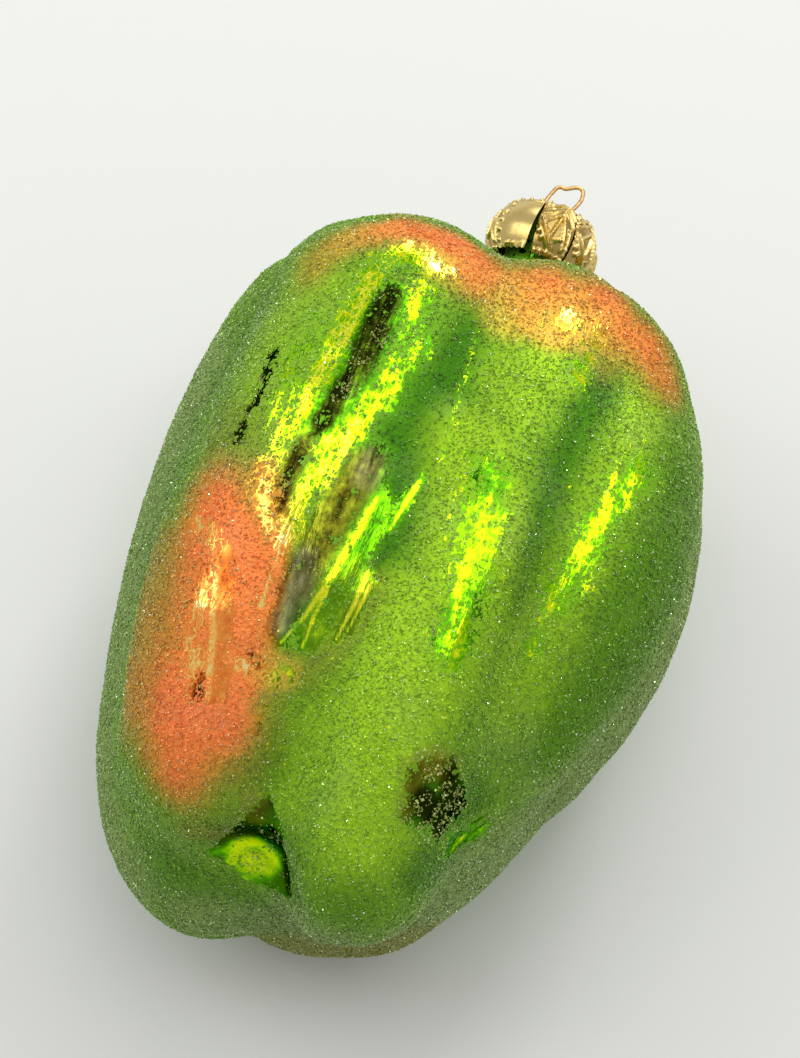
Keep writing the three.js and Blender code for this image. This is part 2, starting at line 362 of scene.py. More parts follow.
# Lacquer colours, painted highlights and painted shade: where each was brushed on, as (path of (bearing,
# height), width, softness, strength)
# darkBand is where the dark reflection is painted; the streaks, brightLines and lacework carry painted
# highlights
darkBand = [(-19.8, 67.6), (-19.4, 65.2), (-19.3, 62.1), (-19.8, 58.4), (-20.5, 54.4), (-21.5, 51.5)]
darkTail = [(-23.0, 49.0), (-24.4, 45.5), (-23.8, 42.3)]
leftStreak = [(-23.6, 70.0), (-24.1, 64.9), (-24.3, 60.0), (-25.9, 55.4), (-26.9, 51.6), (-27.1, 47.6),
              (-27.4, 44.0), (-23.7, 40.5), (-21.1, 39.6)]
rightStreak = [(-12.6, 73.0), (-12.9, 68.8), (-12.2, 64.9), (-12.3, 60.5), (-13.2, 56.6), (-15.7, 53.5),
               (-17.0, 50.6), (-18.8, 47.5), (-20.1, 44.3), (-20.9, 40.3)]
greyBand = [(-12.5, 48.5), (-14.0, 43.5), (-16.2, 38.3), (-16.6, 34.3), (-17.7, 30.9)]
brightLines = [
    [(-7.9, 46.7), (-9.9, 41.2), (-11.5, 37.0), (-14.1, 33.2), (-17.1, 29.8)],
    [(-11.3, 36.7), (-12.4, 33.6), (-13.2, 30.2)],
    [(-5.0, 39.6), (-6.0, 35.8), (-7.1, 32.2)],
    [(-1.4, 50.0), (-2.7, 47.1), (-3.9, 44.2)],
    [(-3.9, 38.6), (-5.4, 33.2)],
]
lineWidths = [0.85, 0.45, 0.55, 0.55, 0.4]
lacework = [
    [(-33.2, 35.2), (-31.6, 31.5), (-30.4, 28.8), (-29.5, 22.8)],
    [(-20.8, 40.0), (-21.4, 36.8), (-22.5, 32.6)],
]
crossing = [(-22.5, 49.6), (-19.0, 50.6), (-15.7, 52.4)]
topThread = [(-1.1, 68), (0.3, 60), (0.8, 52.7)]
shoulderHook = [(14.0, 72.5), (18.8, 72.5), (25.2, 72.7), (23.5, 70.4), (21.7, 67.4)]
middleSpur = [(6.2, 54.1), (12.8, 52.9)]
rightFleck = [(31.4, 39), (31.8, 37.5)]
leftBranch = [(-42.3, 39.5), (-36.9, 38.7), (-32.3, 37.0)]
lowStreak = [(-32, 36.5), (-29.8, 32.2), (-28.4, 28.4), (-27.6, 23.7)]
leftDrip = [(-36.5, 58.7), (-36.5, 57.2), (-35.7, 55.5), (-35.5, 54.1)]
pocket = [(-13.0, 16.3), (-15.1, 15.4, 21.6), (-18.8, 13.5, 21.0), (-26.1, 12.2, 18.5), (-33.2, 10.8, 17.1),
          (-39.9, 8.9, 16.5), (-36.4, 9.3, 14.1), (-34.2, 8.4), (-24.1, 8.2),
          (-6.3, 7.8), (-1.4, 7.9), (-5.0, 9.6), (-8.5, 11.3), (-5.8, 12.5), (-9.7, 14.5)]
# pocketRing is where the highlight round the pocket is painted
pocketRing = [(-34.6, 9.4), (-33.3, 10.2), (-29.9, 11.2), (-25.5, 11.8), (-21.4, 11.8), (-17.9, 11.3),
              (-16.9, 10.5), (-20.8, 9.5)]
hollow = [(14.6, 22.0), (16.2, 22.8), (18.1, 24.0), (19.8, 24.6), (21.4, 24.6), (24.0, 25.6), (29.0, 23.8),
          (33.5, 23.0), (36.6, 21.7), (34.0, 20.2), (33.0, 18.6), (31.5, 17.4), (27.1, 17.7), (23.2, 17.6),
          (20.3, 17.5), (18.2, 17.9), (17.1, 19.2), (16.6, 20.7)]
saddle = [(-9, 77), (-4, 77.5), (2.7, 78), (8, 79), (16, 80), (26, 79.5)]
strokes = {
    "warm": [
        ([(-33, 40), (-29.5, 35.5), (-29.5, 28.5), (-31, 23)], 0.4, 8.5, 0.66),
        ([(-31, 22), (-33, 14.5)], 0.4, 8.0, 0.4),
        ([(-30, 37), (-28.5, 33), (-28.8, 27), (-31, 22)], 0.3, 6.0, 0.55),
        ([(-40, 42), (-42, 38), (-42, 30), (-42, 23), (-40, 18)], 0.4, 8.0, 0.5),
        ([(-56, 36), (-56, 28), (-55, 20)], 0.4, 7.0, 0.38),
        ([(-34, 14), (-26, 18), (-22, 21)], 0.3, 4.0, 0.28),
        ([(-28.5, 46), (-25, 42.5), (-22, 39), (-22.5, 34)], 0.3, 2.6, 0.5),
        ([(-21, 35), (-21, 30), (-22, 26)], 0.4, 3.0, 0.42),
        ([(-24, 24), (-24, 20)], 0.3, 3.0, 0.22),
        ([(-18, 27), (-15.5, 22), (-17, 17)], 0.5, 3.0, 0.2),
        ([(-14, 28.5), (-9, 31), (-6, 35)], 0.3, 2.5, 0.12),
        ([(-26, 76.5), (-17, 76.8), (-10, 76)], 0.5, 5.5, 0.68),
        ([(-37, 70), (-33, 74)], 0.8, 5.0, 0.4),
        ([(-12, 72), (-7, 72.5)], 0.6, 4.0, 0.35),
        ([(-2, 74), (5, 74)], 0.6, 5.0, 0.38),
        ([(12, 76), (24, 76.5), (35, 75), (41, 71.5)], 0.6, 6.5, 0.6),
        ([(27, 74), (36, 73)], 0.4, 4.0, 0.22),
        ([(8, 71), (16, 71.5), (27, 69.5)], 0.4, 4.0, 0.3),
        (saddle, 1.0, 3.5, 0.32),
        ([(-2, 80), (6, 81.5), (16, 82.5), (28, 82.5), (38, 81)], 1.0, 3.0, 0.4),
        ([(-34, 80.5), (-24, 82), (-14, 81)], 1.0, 3.0, 0.35),
        ([(-34, 52), (-38, 48)], 0.6, 6.0, 0.1),
    ],
    "gold": [
        ([(-8, 75), (-1, 74.5), (5, 74.5), (12, 74), (22, 73.5)], 0.6, 3.5, 0.34),
        ([(9, 71.5), (14, 71), (20, 71.5)], 0.8, 3.0, 0.85),
        ([(-29, 76), (-34, 73.5)], 0.5, 3.0, 0.45),
        ([(-13.5, 73), (-11, 74.5)], 0.4, 2.5, 0.5),
        ([(-19, 26.8), (-14.5, 27)], 0.5, 2.2, 0.7),
        ([(1, 70.5), (6, 70)], 0.6, 3.0, 0.5),
    ],
    "emerald": [
        ([(-2, 66), (-2.5, 62), (-4, 55), (-5, 46), (-7, 38)], 1.2, 4.5, 1.0),
        ([(-8, 59), (-8.5, 54), (-8.5, 49)], 1.0, 3.0, 1.0),
        ([(-0.5, 45), (-2, 38), (-4.5, 31), (-8, 26)], 0.5, 2.0, 0.6),
        ([(27, 67), (24, 57), (24, 41)], 0.6, 3.6, 0.9),
        ([(46, 60), (50, 52), (50, 42), (44, 30)], 1.5, 6.0, 0.5),
        ([(-24, 18), (-14, 19), (-10, 24)], 0.5, 3.5, 0.5),
        ([(-62, 66), (-66, 52), (-66, 40)], 3.0, 8.0, 0.45),
        ([(-60, 6), (-30, 4), (0, 4), (30, 6)], 2.0, 5.0, 0.6),
        ([(36, 22), (40, 17), (30, 14)], 1.0, 4.0, 0.7),
        ([(-4, 15), (0, 10), (8, 6.5), (16, 9)], 1.0, 5.0, 0.4),
        ([(43, 55), (41, 48), (39, 44)], 1.0, 5.0, 0.5),
    ],
    # yellow-green lacquer, laid mostly on the lobe crests and round the middle highlight, where it is also
    # painted light
    "limeAndCrestLight": [
        ([(5, 55), (10, 50), (12, 44), (13, 38), (12, 30), (10, 22), (12, 15)], 1.8, 6.0, 0.8),
        ([(35, 62), (33, 50), (32, 40), (34, 32)], 1.0, 5.0, 0.5),
        ([(4, 38), (4, 30), (5, 24)], 1.2, 5.0, 0.8),
        ([(-36, 68), (-35, 60), (-34, 55)], 2.0, 6.0, 0.7),
        ([(12, 50), (13.6, 44), (13.5, 40)], 2.0, 4.0, 1.0),
        ([(8, 64), (10, 68), (12, 61)], 1.0, 5.0, 0.6),
        ([(14, 67), (18, 66)], 1.0, 3.5, 0.9),
        ([(38, 68), (37, 64)], 1.0, 3.0, 0.8),
        ([(-6, 30), (-7, 22), (-6, 16)], 0.6, 4.0, 0.5),
    ],
    # painted sheen: pale grey-green where the grit is seen edge-on, along the outline and round the blossom
    # end
    "paintedRimSheen": [
        ([(-80, 60), (-82, 40), (-86, 20), (-82, 6)], 3.5, 6.0, 0.8),
        ([(72, 66), (72, 55), (70, 45), (64, 34), (60, 24), (46, 11), (32, 4)], 1.5, 5.5, 0.8),
        ([(100, 66), (104, 45), (100, 25), (80, 12)], 8.0, 6.0, 1.0),
        ([(-60, 1), (-20, 0), (20, 0), (160, 4)], 2.0, 5.0, 0.8),
        ([(60, 66), (60, 56)], 1.0, 5.0, 0.5),
        ([(-55, 76), (-45, 79)], 1.0, 4.0, 0.6),
    ],
    "olive": [
        ([(170, 4), (150, 6), (120, 7), (190, 6)], 4.0, 7.0, 0.9),
        ([(-44, 50), (-36, 50), (-28, 48)], 0.8, 4.0, 0.3),
        ([(-12, 48.5), (-13.5, 45), (-15, 41), (-16.5, 36)], 1.0, 2.4, 0.8),
        (darkTail, 0.8, 1.6, 0.7),
        (darkBand, 0.4, 1.2, 0.35),
        ([(-6.5, 38), (-10.5, 32.5)], 1.6, 2.0, 0.3),
        ([(-17, 25.5), (-11, 28), (-7, 32), (-3.5, 38)], 0.6, 2.5, 0.4),
        ([(-36, 10.4), (-24, 12.4), (-16, 15)], 0.8, 1.6, 0.55),
        ([(17.5, 22), (21, 23.8), (24, 24.4)], 0.7, 1.6, 0.85),
        ([(17.2, 20.6), (18.8, 18.4)], 0.3, 1.3, 0.8),
    ],
    "bare": [
        (darkBand, 0.9, 3.0, 1.0),
        (darkTail, 0.4, 2.4, 0.95),
        (leftStreak, 0.2, 3.2, 0.86),
        (leftStreak[:4], 0.3, 1.8, 0.92),
        (rightStreak, 0.2, 2.6, 0.8),
        (rightStreak[5:], 0.3, 1.7, 0.9),
        (crossing, 0.1, 2.0, 0.85),
        (greyBand, 1.0, 2.6, 1.0),
        ([(-10.5, 50), (-11.5, 45), (-13.5, 40)], 1.0, 2.6, 0.95),
        ([(-7.4, 46), (-8.7, 39), (-10.6, 33.5), (-12.3, 31.5)], 0.9, 2.2, 0.95),
        ([(-11.0, 66), (-10.5, 61), (-11.5, 56)], 0.1, 3.0, 0.66),
        ([(-31, 63), (-31, 57), (-31, 52)], 0.2, 4.5, 0.5),
        (topThread, 0.02, 0.6, 0.6),
        ([(-23.0, 71.4), (-20.8, 73.2), (-17.7, 74.0), (-13.8, 73.6)], 0.7, 3.4, 0.8),
        (lowStreak, 0.9, 1.5, 1.0),
        ([(-35, 34), (-34.2, 28), (-31.8, 23.5)], 0.5, 3.0, 0.86),
        (leftBranch, 0.2, 2.2, 0.74),
        ([(-26.1, 27.0), (-21.8, 26.7), (-18.1, 26.5), (-15.3, 27.4)], 0.3, 2.4, 0.86),
        (lacework[1], 0.1, 1.2, 0.85),
        ([(-18.3, 24.2), (-19.6, 21.1)], 0.1, 2.0, 0.6),
        ([(10.5, 52.5), (12.6, 48), (13.6, 43.8), (14.6, 39.5), (15.6, 34.5)], 0.6, 4.0, 0.82),
        (middleSpur, 0.2, 2.2, 0.75),
        ([(38, 59.3), (36, 56.1), (34.1, 53), (33.1, 50.3), (32.3, 46.3), (30.8, 43.2)], 0.2, 3.6, 0.77),
        (rightFleck, 0.2, 2.4, 0.75),
        (shoulderHook, 0.2, 3.4, 0.68),
        ([(36.8, 17.7), (41.4, 19.0), (44.3, 20.3)], 1.0, 2.0, 0.8),
        (leftDrip, 0.15, 1.3, 0.88),
        ([(-35.7, 52.9), (-36.3, 51.7)], 0.1, 1.3, 0.85),
        ([(-37.3, 49.9), (-36.9, 48.3)], 0.15, 1.4, 0.95),
    ] + [(line, 0.15, 0.9, 1.0) for line in brightLines],
    # painted dark reflections along the dark band, painted shade in the blossom pocket and the hollow
    "paintedShadeAndDarkReflection": [
        (darkBand, 0.4, 1.3, 0.72),
        ([(-19.2, 67.5), (-18.8, 64), (-18.7, 60.5)], 1.1, 1.4, 0.65),
        (darkTail, 0.3, 1.2, 0.8),
        ([(-10.5, 50), (-12.3, 45), (-14.3, 41)], 1.2, 2.2, 0.34),
        (greyBand, 0.4, 1.6, 0.12),
        ([(-12.9, 15.4), (-18.5, 13.3), (-31.9, 11.1), (-38, 9.7)], 0.2, 1.2, 0.35),
        ([(-10.4, 13.0), (-7.8, 10.4), (-3.7, 8.6)], 0.2, 1.3, 0.7),
        ([(26.0, 23.5), (31.1, 21.7), (30.0, 19.2), (28.5, 17.9)], 1.0, 1.6, 0.7),
        ([(22.4, 20.4), (27.7, 19.6)], 0.8, 1.6, 0.75),
        (leftDrip, 0.6, 1.2, 1.0),
        ([(-35.7, 52.9), (-37.3, 49.9), (-36.9, 48.3)], 0.6, 1.2, 1.0),
        ([(-31.6, 24.4), (-31.4, 23.2)], 0.3, 0.7, 1.0),
        ([(-22.0, 27.8), (-20.4, 27.6)], 0.2, 0.8, 0.9),
        ([(-17.1, 21.1), (-16.3, 22.4)], 0.1, 1.0, 0.6),
    ],
    # painted highlights: bright reflections laid on the bare mirror as colour
    "paintedHighlight": [
        (leftStreak, 0.3, 1.8, 0.85),
        (leftStreak[:4], 0.4, 1.4, 1.0),
        (rightStreak, 0.2, 1.8, 0.5),
        (rightStreak[5:], 0.3, 1.2, 1.0),
        (topThread, 0.02, 0.6, 0.3),
        (crossing, 0.3, 1.0, 1.0),
        ([(-23.0, 71.4), (-20.8, 73.6), (-17.7, 74.4), (-13.8, 73.6)], 0.7, 2.2, 0.95),
        ([(12.2, 49), (13.6, 45.5), (13.8, 42)], 1.2, 2.6, 0.5),
        ([(14.6, 39.5), (15.6, 34.5)], 0.3, 1.8, 0.4),
        (middleSpur, 0.2, 1.2, 0.4),
        ([(38, 59.3), (34.1, 53), (33.1, 50.3), (32.3, 46.3), (30.8, 43.2)], 0.3, 2.2, 0.45),
        (rightFleck, 0.3, 1.4, 0.5),
        (lacework[0], 0.15, 0.7, 1.0),
        ([(-35.4, 33), (-34.6, 28), (-32.6, 24.5)], 0.5, 1.8, 0.75),
        (leftBranch, 0.2, 1.2, 0.7),
        ([(-26.1, 27.0), (-21.8, 26.5), (-18.1, 26.3), (-15.3, 27.4)], 0.3, 1.2, 0.9),
        (lacework[1], 0.1, 0.4, 1.0),
        (shoulderHook, 0.4, 2.4, 0.35),
        ([(-29.6, 31.8), (-28.4, 28.4), (-27.6, 23.7)], 0.7, 1.4, 0.4),
        ([(-7.4, 46), (-9.5, 39), (-12, 33)], 1.5, 1.5, 0.25),
        (pocketRing[:5], 0.4, 1.2, 0.85),
        (pocketRing[4:], 0.3, 1.2, 0.8),
        ([(-27, 10.2)], 1.5, 2.0, 0.8),
        ([(-37.5, 9.5), (-33.5, 10.6)], 0.1, 0.8, 0.4),
    ],
    "beaded": [
        ([(-16.5, 63), (-17.8, 60.6), (-18.0, 58.7), (-18.7, 56.2)], 0.7, 1.2, 1.0),
        (leftStreak, 0.4, 2.0, 0.55),
        ([(-13.5, 72), (-12.3, 66), (-12.5, 60)], 0.6, 2.4, 0.6),
        ([(-25.5, 46), (-24.5, 42)], 0.4, 1.4, 0.6),
        ([(24, 22.5), (30, 20), (26, 18.5)], 2.4, 1.6, 1.0),
        ([(-26.8, 10.3)], 1.1, 1.0, 1.0),
        ([(-36.5, 57), (-36.9, 49)], 0.4, 1.2, 0.6),
    ],
    "still": [
        (lowStreak, 0.7, 1.2, 0.7),
        ([(12.6, 47.5), (13.6, 43.5)], 1.4, 2.4, 0.7),
        ([(-7.4, 47), (-9.5, 39), (-12, 33), (-14.5, 29)], 1.6, 1.5, 0.6),
    ] + [(line, 0.3, 0.5, 0.6) for line in brightLines],
    "sleek": [
        ([(-4, 66), (-6, 57), (-8.5, 50), (-7, 40)], 3.0, 3.0, 0.8),
        ([(-30, 66), (-31, 58), (-32, 50)], 2.0, 3.5, 0.5),
        ([(-29, 38), (-29, 26)], 3.0, 4.0, 0.45),
        ([(24, 64), (24, 52)], 1.5, 3.0, 0.5),
    ],
    "ash": [
        ([(-16.2, 38), (-16.8, 34.5), (-17.6, 31.5)], 0.5, 1.6, 0.6),
        ([(-10.5, 50.5), (-11.2, 48)], 0.3, 1.8, 0.3),
    ],
}
patches = {
    "bare": [(pocket, 0.8, 1.0), (hollow, 1.2, 1.0)],
    # painted shade in the pocket and the hollow
    "paintedShadeAndDarkReflection": [(pocket, 1.5, 0.2), (hollow, 1.0, 0.15)],
    "still": [(pocket, 1.0, 0.85), (hollow, 1.0, 0.7)],
}
seamLine = [(93, 63), (92, 57), (88, 47), (78, 38), (66, 30), (54, 21), (36, 11), (24, 6)]


# A filled patch: 1 inside the laid outline, fading to 0 across the softness. It is worked out on the plane
# that fits its outline best, for the points within its reach.
def patch(outline, soft, reach=12):
    laid = layOnSkin(outline)
    centre = laid.mean(0)
    sides = np.linalg.svd(laid - centre)[2][:2]
    near = outside & (np.linalg.norm(skin - centre, axis=1) < reach / 1000)
    flat, rim = (skin[near] - centre) @ sides.T, (laid - centre) @ sides.T
    inside = np.zeros(len(flat), dtype=bool)
    off = np.full(len(flat), 1e9)
    for a, b in zip(rim, np.roll(rim, -1, axis=0)):
        crosses = (a[1] > flat[:, 1]) != (b[1] > flat[:, 1])
        inside ^= crosses & (flat[:, 0] < (b[0] - a[0]) * (flat[:, 1] - a[1]) / (b[1] - a[1] + 1e-15) + a[0])
        t = np.clip(((flat - a) @ (b - a)) / max(((b - a) ** 2).sum(), 1e-15), 0, 1)
        off = np.minimum(off, np.linalg.norm(flat - a - t[:, None] * (b - a), axis=1))
    weight = np.zeros(len(skin))
    weight[near] = np.clip(0.5 + np.where(inside, off, -off) * 1000 / soft, 0, 1)
    return weight


# A painted layer, lacquer colour and painted light alike, laid in strokes and patches, as strong as the
# strongest of them.
def paint(name):
    weight = np.zeros(len(skin))
    for path, width, soft, strength in strokes[name]:
        weight = np.maximum(weight, stroke(path, width, soft, 0.25) * strength)
    for outline, soft, strength in patches.get(name, []):
        weight = np.maximum(weight, patch(outline, soft) * strength)
    return weight


# A coat that grows denser where strokes cross.
def layered(name):
    left = np.ones(len(skin))
    for path, width, soft, strength in strokes[name]:
        left *= 1 - stroke(path, width, soft) * strength
    return 1 - left


# The finest lines are narrower than the skin's faces, so the faces along them are cut smaller twice.
for reach in (1.4, 0.8):
    closest = np.min([pathDistance(line)[0] for line in brightLines + lacework], axis=0)
    beside = outside & (closest < reach)
    pick(glassPepper, "FACE", lambda face: all(beside[i] for i in face.vertices))
    bpy.ops.mesh.subdivide(number_cuts=1)
    bpy.ops.object.mode_set(mode="OBJECT")
    skin, normals, skinBearing, skinRadius, skinHeight, outside = readSkin()
print("fine lines refined:", len(glassPepper.data.polygons), "faces")


# A thin painted highlight line, widest near its first end and thinner towards the other.
def thinLine(path, width):
    off, along = pathDistance(path)
    wide = width * np.minimum(1, 0.3 + 5 * along) * (1 - 0.8 * along)
    return np.clip(1.6 * (1 - off / wide), 0, 1) * outside


coatsAndPaintedLight = {name: paint(name) for name in strokes if name != "warm"}
# the thin bright lines add painted highlights
for line, width in zip(brightLines, lineWidths):
    coatsAndPaintedLight["paintedHighlight"] = np.maximum(coatsAndPaintedLight["paintedHighlight"], thinLine(line, width))
coatsAndPaintedLight["warm"] = layered("warm")
coatsAndPaintedLight["bare"] = np.where(outside, coatsAndPaintedLight["bare"], 0.35)
coatsAndPaintedLight["emerald"] = np.where(outside, coatsAndPaintedLight["emerald"], 0.5)
coatsAndPaintedLight["still"] = np.where(outside, coatsAndPaintedLight["still"], 0.9)
for name, weight in coatsAndPaintedLight.items():
    keepAttribute(glassPepper, name, weight)
keepAttribute(glassPepper, "seam", np.clip(pathDistance(seamLine)[0], 0, 5))
print("lacquer painted")

# Glass grit: small angular grains half sunk in the wet lacquer, and sharp clear splinters among them
grit = {
    "grains": {"count": 180000, "perPiece": 30000, "size": (0.2, 0.38), "sunk": 0.4, "seed": 7,
               "sides": 4, "tall": 0.7, "sharp": None},
    "splinters": {"count": 26000, "perPiece": 26000, "size": (0.14, 0.34), "sunk": 0.25, "seed": 11,
                  "sides": 3, "tall": 0.72, "sharp": 10},
    "spare": 1.15,  # places drawn for each one wanted, as some fall away
    "clusters": 750, "torn": 900, "tornFine": 2400,  # noise features to the metre
}


# Even random places on the outer skin, thinned out where the lacquer is bare except for small clusters.
# With each place go the way the skin faces there and a point of the skin beside it.
def scatter(count, random):
    mesh = glassPepper.data
    mesh.calc_loop_triangles()
    corners = np.zeros(len(mesh.loop_triangles) * 3, dtype=np.int32)
    mesh.loop_triangles.foreach_get("vertices", corners)
    corners = corners.reshape(-1, 3)
    corners = corners[outside[corners].all(1)]
    a, b, c = skin[corners[:, 0]], skin[corners[:, 1]], skin[corners[:, 2]]
    area = np.linalg.norm(np.cross(b - a, c - a), axis=1)
    picked = random.choice(len(corners), int(count * grit["spare"]), p=area / area.sum())
    u, v = random.random(len(picked)), random.random(len(picked))
    flip = u + v > 1
    u[flip], v[flip] = 1 - u[flip], 1 - v[flip]
    w = 1 - u - v
    at = a[picked] * w[:, None] + b[picked] * u[:, None] + c[picked] * v[:, None]
    owner = corners[picked]
    cover = coatsAndPaintedLight["bare"][owner[:, 0]] * w + coatsAndPaintedLight["bare"][owner[:, 1]] * u + coatsAndPaintedLight["bare"][owner[:, 2]] * v
    spots = [Vector(p) for p in at]
    torn = [noise.noise(p * grit["torn"]) + 0.5 * noise.noise(p * grit["tornFine"]) for p in spots]
    torn = np.array(torn)
    cluster = np.array([noise.noise(p * grit["clusters"] + Vector((9, 4, 2))) for p in spots])
    loose = np.clip((cover + torn * 0.35 - 0.45) * 5, 0, 0.96)
    loose = np.maximum(loose, coatsAndPaintedLight["sleek"][owner[:, 0]] * np.clip(0.75 + torn, 0, 1))
    loose *= 1 - coatsAndPaintedLight["beaded"][owner[:, 0]] * np.clip(cluster * 4 + 0.85, 0, 1)
    stays = random.random(len(picked)) > loose
    return at[stays][:count], normals[owner].mean(1)[stays][:count], owner[stays][:count, 0]


# One grain about 1 unit across: a low cone with its tip pushed off the middle, as its points and faces.
def modelGrain(sides, tall, sharp):
    bpy.ops.mesh.primitive_cone_add(vertices=sides, radius1=0.5, depth=tall, location=(0, 0, 0))
    grain = bpy.context.object
    pick(grain, "VERT", lambda point: point.co.z > 0.1)
    bpy.ops.transform.translate(value=(0.12, -0.08, 0.03))
    bpy.ops.object.mode_set(mode="OBJECT")
    finishMesh(grain, sharp)
    shape = pointsOf(grain), [tuple(face.vertices) for face in grain.data.polygons]
    bpy.data.objects.remove(grain)
    return shape


# Copies of one grain at random turns and sizes, joined in pieces that stay small enough.
def layGrit(kind, name):
    settings = grit[kind]
    random = np.random.default_rng(settings["seed"])
    shape, shapeFaces = modelGrain(settings["sides"], settings["tall"], settings["sharp"])
    places, facings, owners = scatter(settings["count"], random)
    pieces = []
    for start in range(0, len(places), settings["perPiece"]):
        part = slice(start, start + settings["perPiece"])
        at, facing, owner = places[part], facings[part], owners[part]
        spin = random.normal(size=(len(at), 4))
        spin /= np.linalg.norm(spin, axis=1)[:, None]
        w, x, y, z = spin.T
        turns = np.stack([
            1 - 2 * (y * y + z * z), 2 * (x * y - w * z), 2 * (x * z + w * y),
            2 * (x * y + w * z), 1 - 2 * (x * x + z * z), 2 * (y * z - w * x),
            2 * (x * z - w * y), 2 * (y * z + w * x), 1 - 2 * (x * x + y * y)], axis=1).reshape(-1, 3, 3)
        low, high = settings["size"]
        size = (low + (high - low) * random.random(len(at)) ** 2) / 1000
        centre = at + facing * (size * (0.5 - settings["sunk"]))[:, None]
        points = np.einsum("nij,kj->nki", turns, shape) * size[:, None, None] + centre[:, None, :]
        many = len(shape)
        faces = [tuple(corner + many * i for corner in face) for i in range(len(at)) for face in shapeFaces]
        mesh = bpy.data.meshes.new(name)
        mesh.from_pydata(points.reshape(-1, 3).tolist(), [], faces)
        mesh.update()
        piece = bpy.data.objects.new("%s%d" % (name, len(pieces) + 1), mesh)
        bpy.context.scene.collection.objects.link(piece)
        for paintName, weight in coatsAndPaintedLight.items() if kind == "grains" else ():
            keepAttribute(piece, paintName, np.repeat(weight[owner], many))
        keepAttribute(piece, "milk", np.repeat(random.random(len(at)), many))
        pieces.append(piece)
    return pieces


grainPieces = layGrit("grains", "glassGrain")
splinterPieces = layGrit("splinters", "glassSplinter")
print("glass grit scattered in", len(grainPieces) + len(splinterPieces), "pieces")

# The lacquer's patterns, each with the size of its features in millimetres.
lacquer = {"stir": 0.769, "net": 0.667, "rag": 1.176, "drift": 9.09, "streak": 1.5625, "grain": 0.303}
